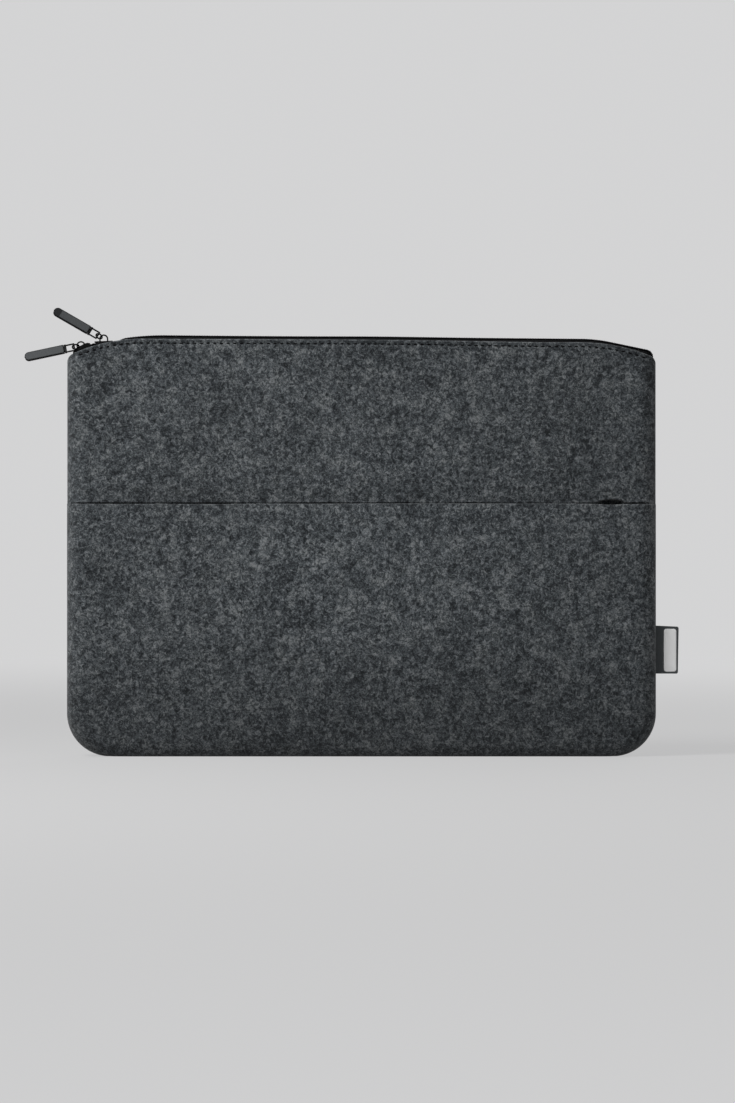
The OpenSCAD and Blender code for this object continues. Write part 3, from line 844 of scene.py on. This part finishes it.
stitch_back = finish_piece(topstitch("topstitch_back", BACK), "sleeve", "felt", THREAD)

# The metal solids keep their place and take small bevels and a finish.
for name in ("slider_right", "slider_left", "ring_right", "ring_left", "loop_right", "loop_left"):
    nodes[name].data.materials.clear()
    nodes[name].data.materials.append(METAL)
    bevel = nodes[name].modifiers.new("soft_edges", "BEVEL")
    bevel.width, bevel.segments, bevel.limit_method = BEVEL_W * MM, 2, "ANGLE"


# Points of the closed sheets


def declare_sheet(obj):
    """Reads the points of a closed sheet and does nothing more with them."""
    places = np.zeros(len(obj.data.vertices) * 3)
    obj.data.vertices.foreach_get("co", places)


declare_sheet(felt_back)
declare_sheet(felt_front)
declare_sheet(felt_pocket)
declare_sheet(tape_back)
declare_sheet(tape_front)
declare_sheet(label_fold)


# Floor, world, light and camera

FLOOR_R = 14000.0
PALE = (0.655, 0.655, 0.66, 1)
VIEW_W = 462.3 * MM
SENSOR_W = 36.0
DISTANCE = 2.6
LOOK_X = 3.8 * MM
LOOK_Z = 128.6 * MM


def seen_rays(g):
    """One for the rays that show the background: straight, mirrored or let through."""
    path = g.node("ShaderNodeLightPath").outputs
    return g.math("MAXIMUM", path["Is Camera Ray"],
                  g.math("MAXIMUM", path["Is Glossy Ray"], path["Is Transmission Ray"]))


def make_floor():
    """A wide pale floor that keeps the shadow near the sleeve and fades into the pale world far away."""
    around = np.linspace(0, 2 * np.pi, 120, endpoint=False)
    rim = [(FLOOR_R * math.cos(t), FLOOR_R * math.sin(t), 0.0) for t in around]
    floor = plain_mesh("floor", rim, [tuple(range(len(rim)))])
    mat, g, where = new_material("pale_floor")
    g.surface({"Base Color": (0.46, 0.46, 0.46, 1), "Roughness": 0.9, "Specular IOR Level": 0.1})
    away = g.vector("LENGTH", where).outputs["Value"]
    share = g.math("MULTIPLY", seen_rays(g), g.range(away, 0.3, 2.4, 0.70, 1.0, "SMOOTHSTEP"))
    glow = g.node("ShaderNodeEmission", {"Color": PALE, "Strength": 1.0}).outputs[0]
    lit = g.nt.nodes["Principled BSDF"].outputs[0]
    blend = g.node("ShaderNodeMixShader", {0: share, 1: lit, 2: glow}).outputs[0]
    g.put(g.nt.nodes["Material Output"].inputs["Surface"], blend)
    floor.data.materials.append(mat)


def make_world():
    """Even white light; the rays that show the background see a pale grey."""
    world = bpy.data.worlds.new("studio")
    bpy.context.scene.world = world
    world.use_nodes = True
    g = Graph(world.node_tree)
    light = g.nt.nodes["Background"]
    light.inputs["Color"].default_value = (1, 1, 1, 1)
    light.inputs["Strength"].default_value = 0.26
    pale = g.node("ShaderNodeBackground", {"Color": PALE, "Strength": 1.0}).outputs[0]
    blend = g.node("ShaderNodeMixShader", {0: seen_rays(g), 1: light.outputs[0], 2: pale}).outputs[0]
    g.put(g.nt.nodes["World Output"].inputs["Surface"], blend)


def area_light(name, place, target, size, power):
    """A round lamp at a place, turned towards a target."""
    light = bpy.data.lights.new(name, "AREA")
    light.shape, light.size, light.energy = "DISK", size, power
    obj = bpy.data.objects.new(name, light)
    obj.location = place
    obj.rotation_euler = (Vector(target) - Vector(place)).to_track_quat("-Z", "Y").to_euler()
    bpy.context.scene.collection.objects.link(obj)


def make_camera():
    """A level camera, straight in front of the sleeve."""
    cam = bpy.data.cameras.new("camera")
    cam.sensor_fit, cam.sensor_width = "HORIZONTAL", SENSOR_W
    cam.lens = SENSOR_W * DISTANCE / VIEW_W
    cam.clip_end = 50.0
    camera = bpy.data.objects.new("camera", cam)
    camera.location = (LOOK_X, -DISTANCE, LOOK_Z)
    camera.rotation_euler = (math.pi / 2, 0, 0)
    bpy.context.scene.collection.objects.link(camera)
    bpy.context.scene.camera = camera


make_floor()
make_world()
area_light("key", (-0.72, -0.66, 0.98), (-0.02, 0.0, 0.16), 0.6, 15.5)
area_light("fill", (1.6, -2.2, 0.9), (0.0, 0.0, 0.13), 1.6, 6.0)
area_light("back", (0.9, 2.2, 0.5), (0.0, 0.0, 0.10), 1.4, 14.0)
make_camera()
bpy.context.scene.view_settings.view_transform = "Standard"
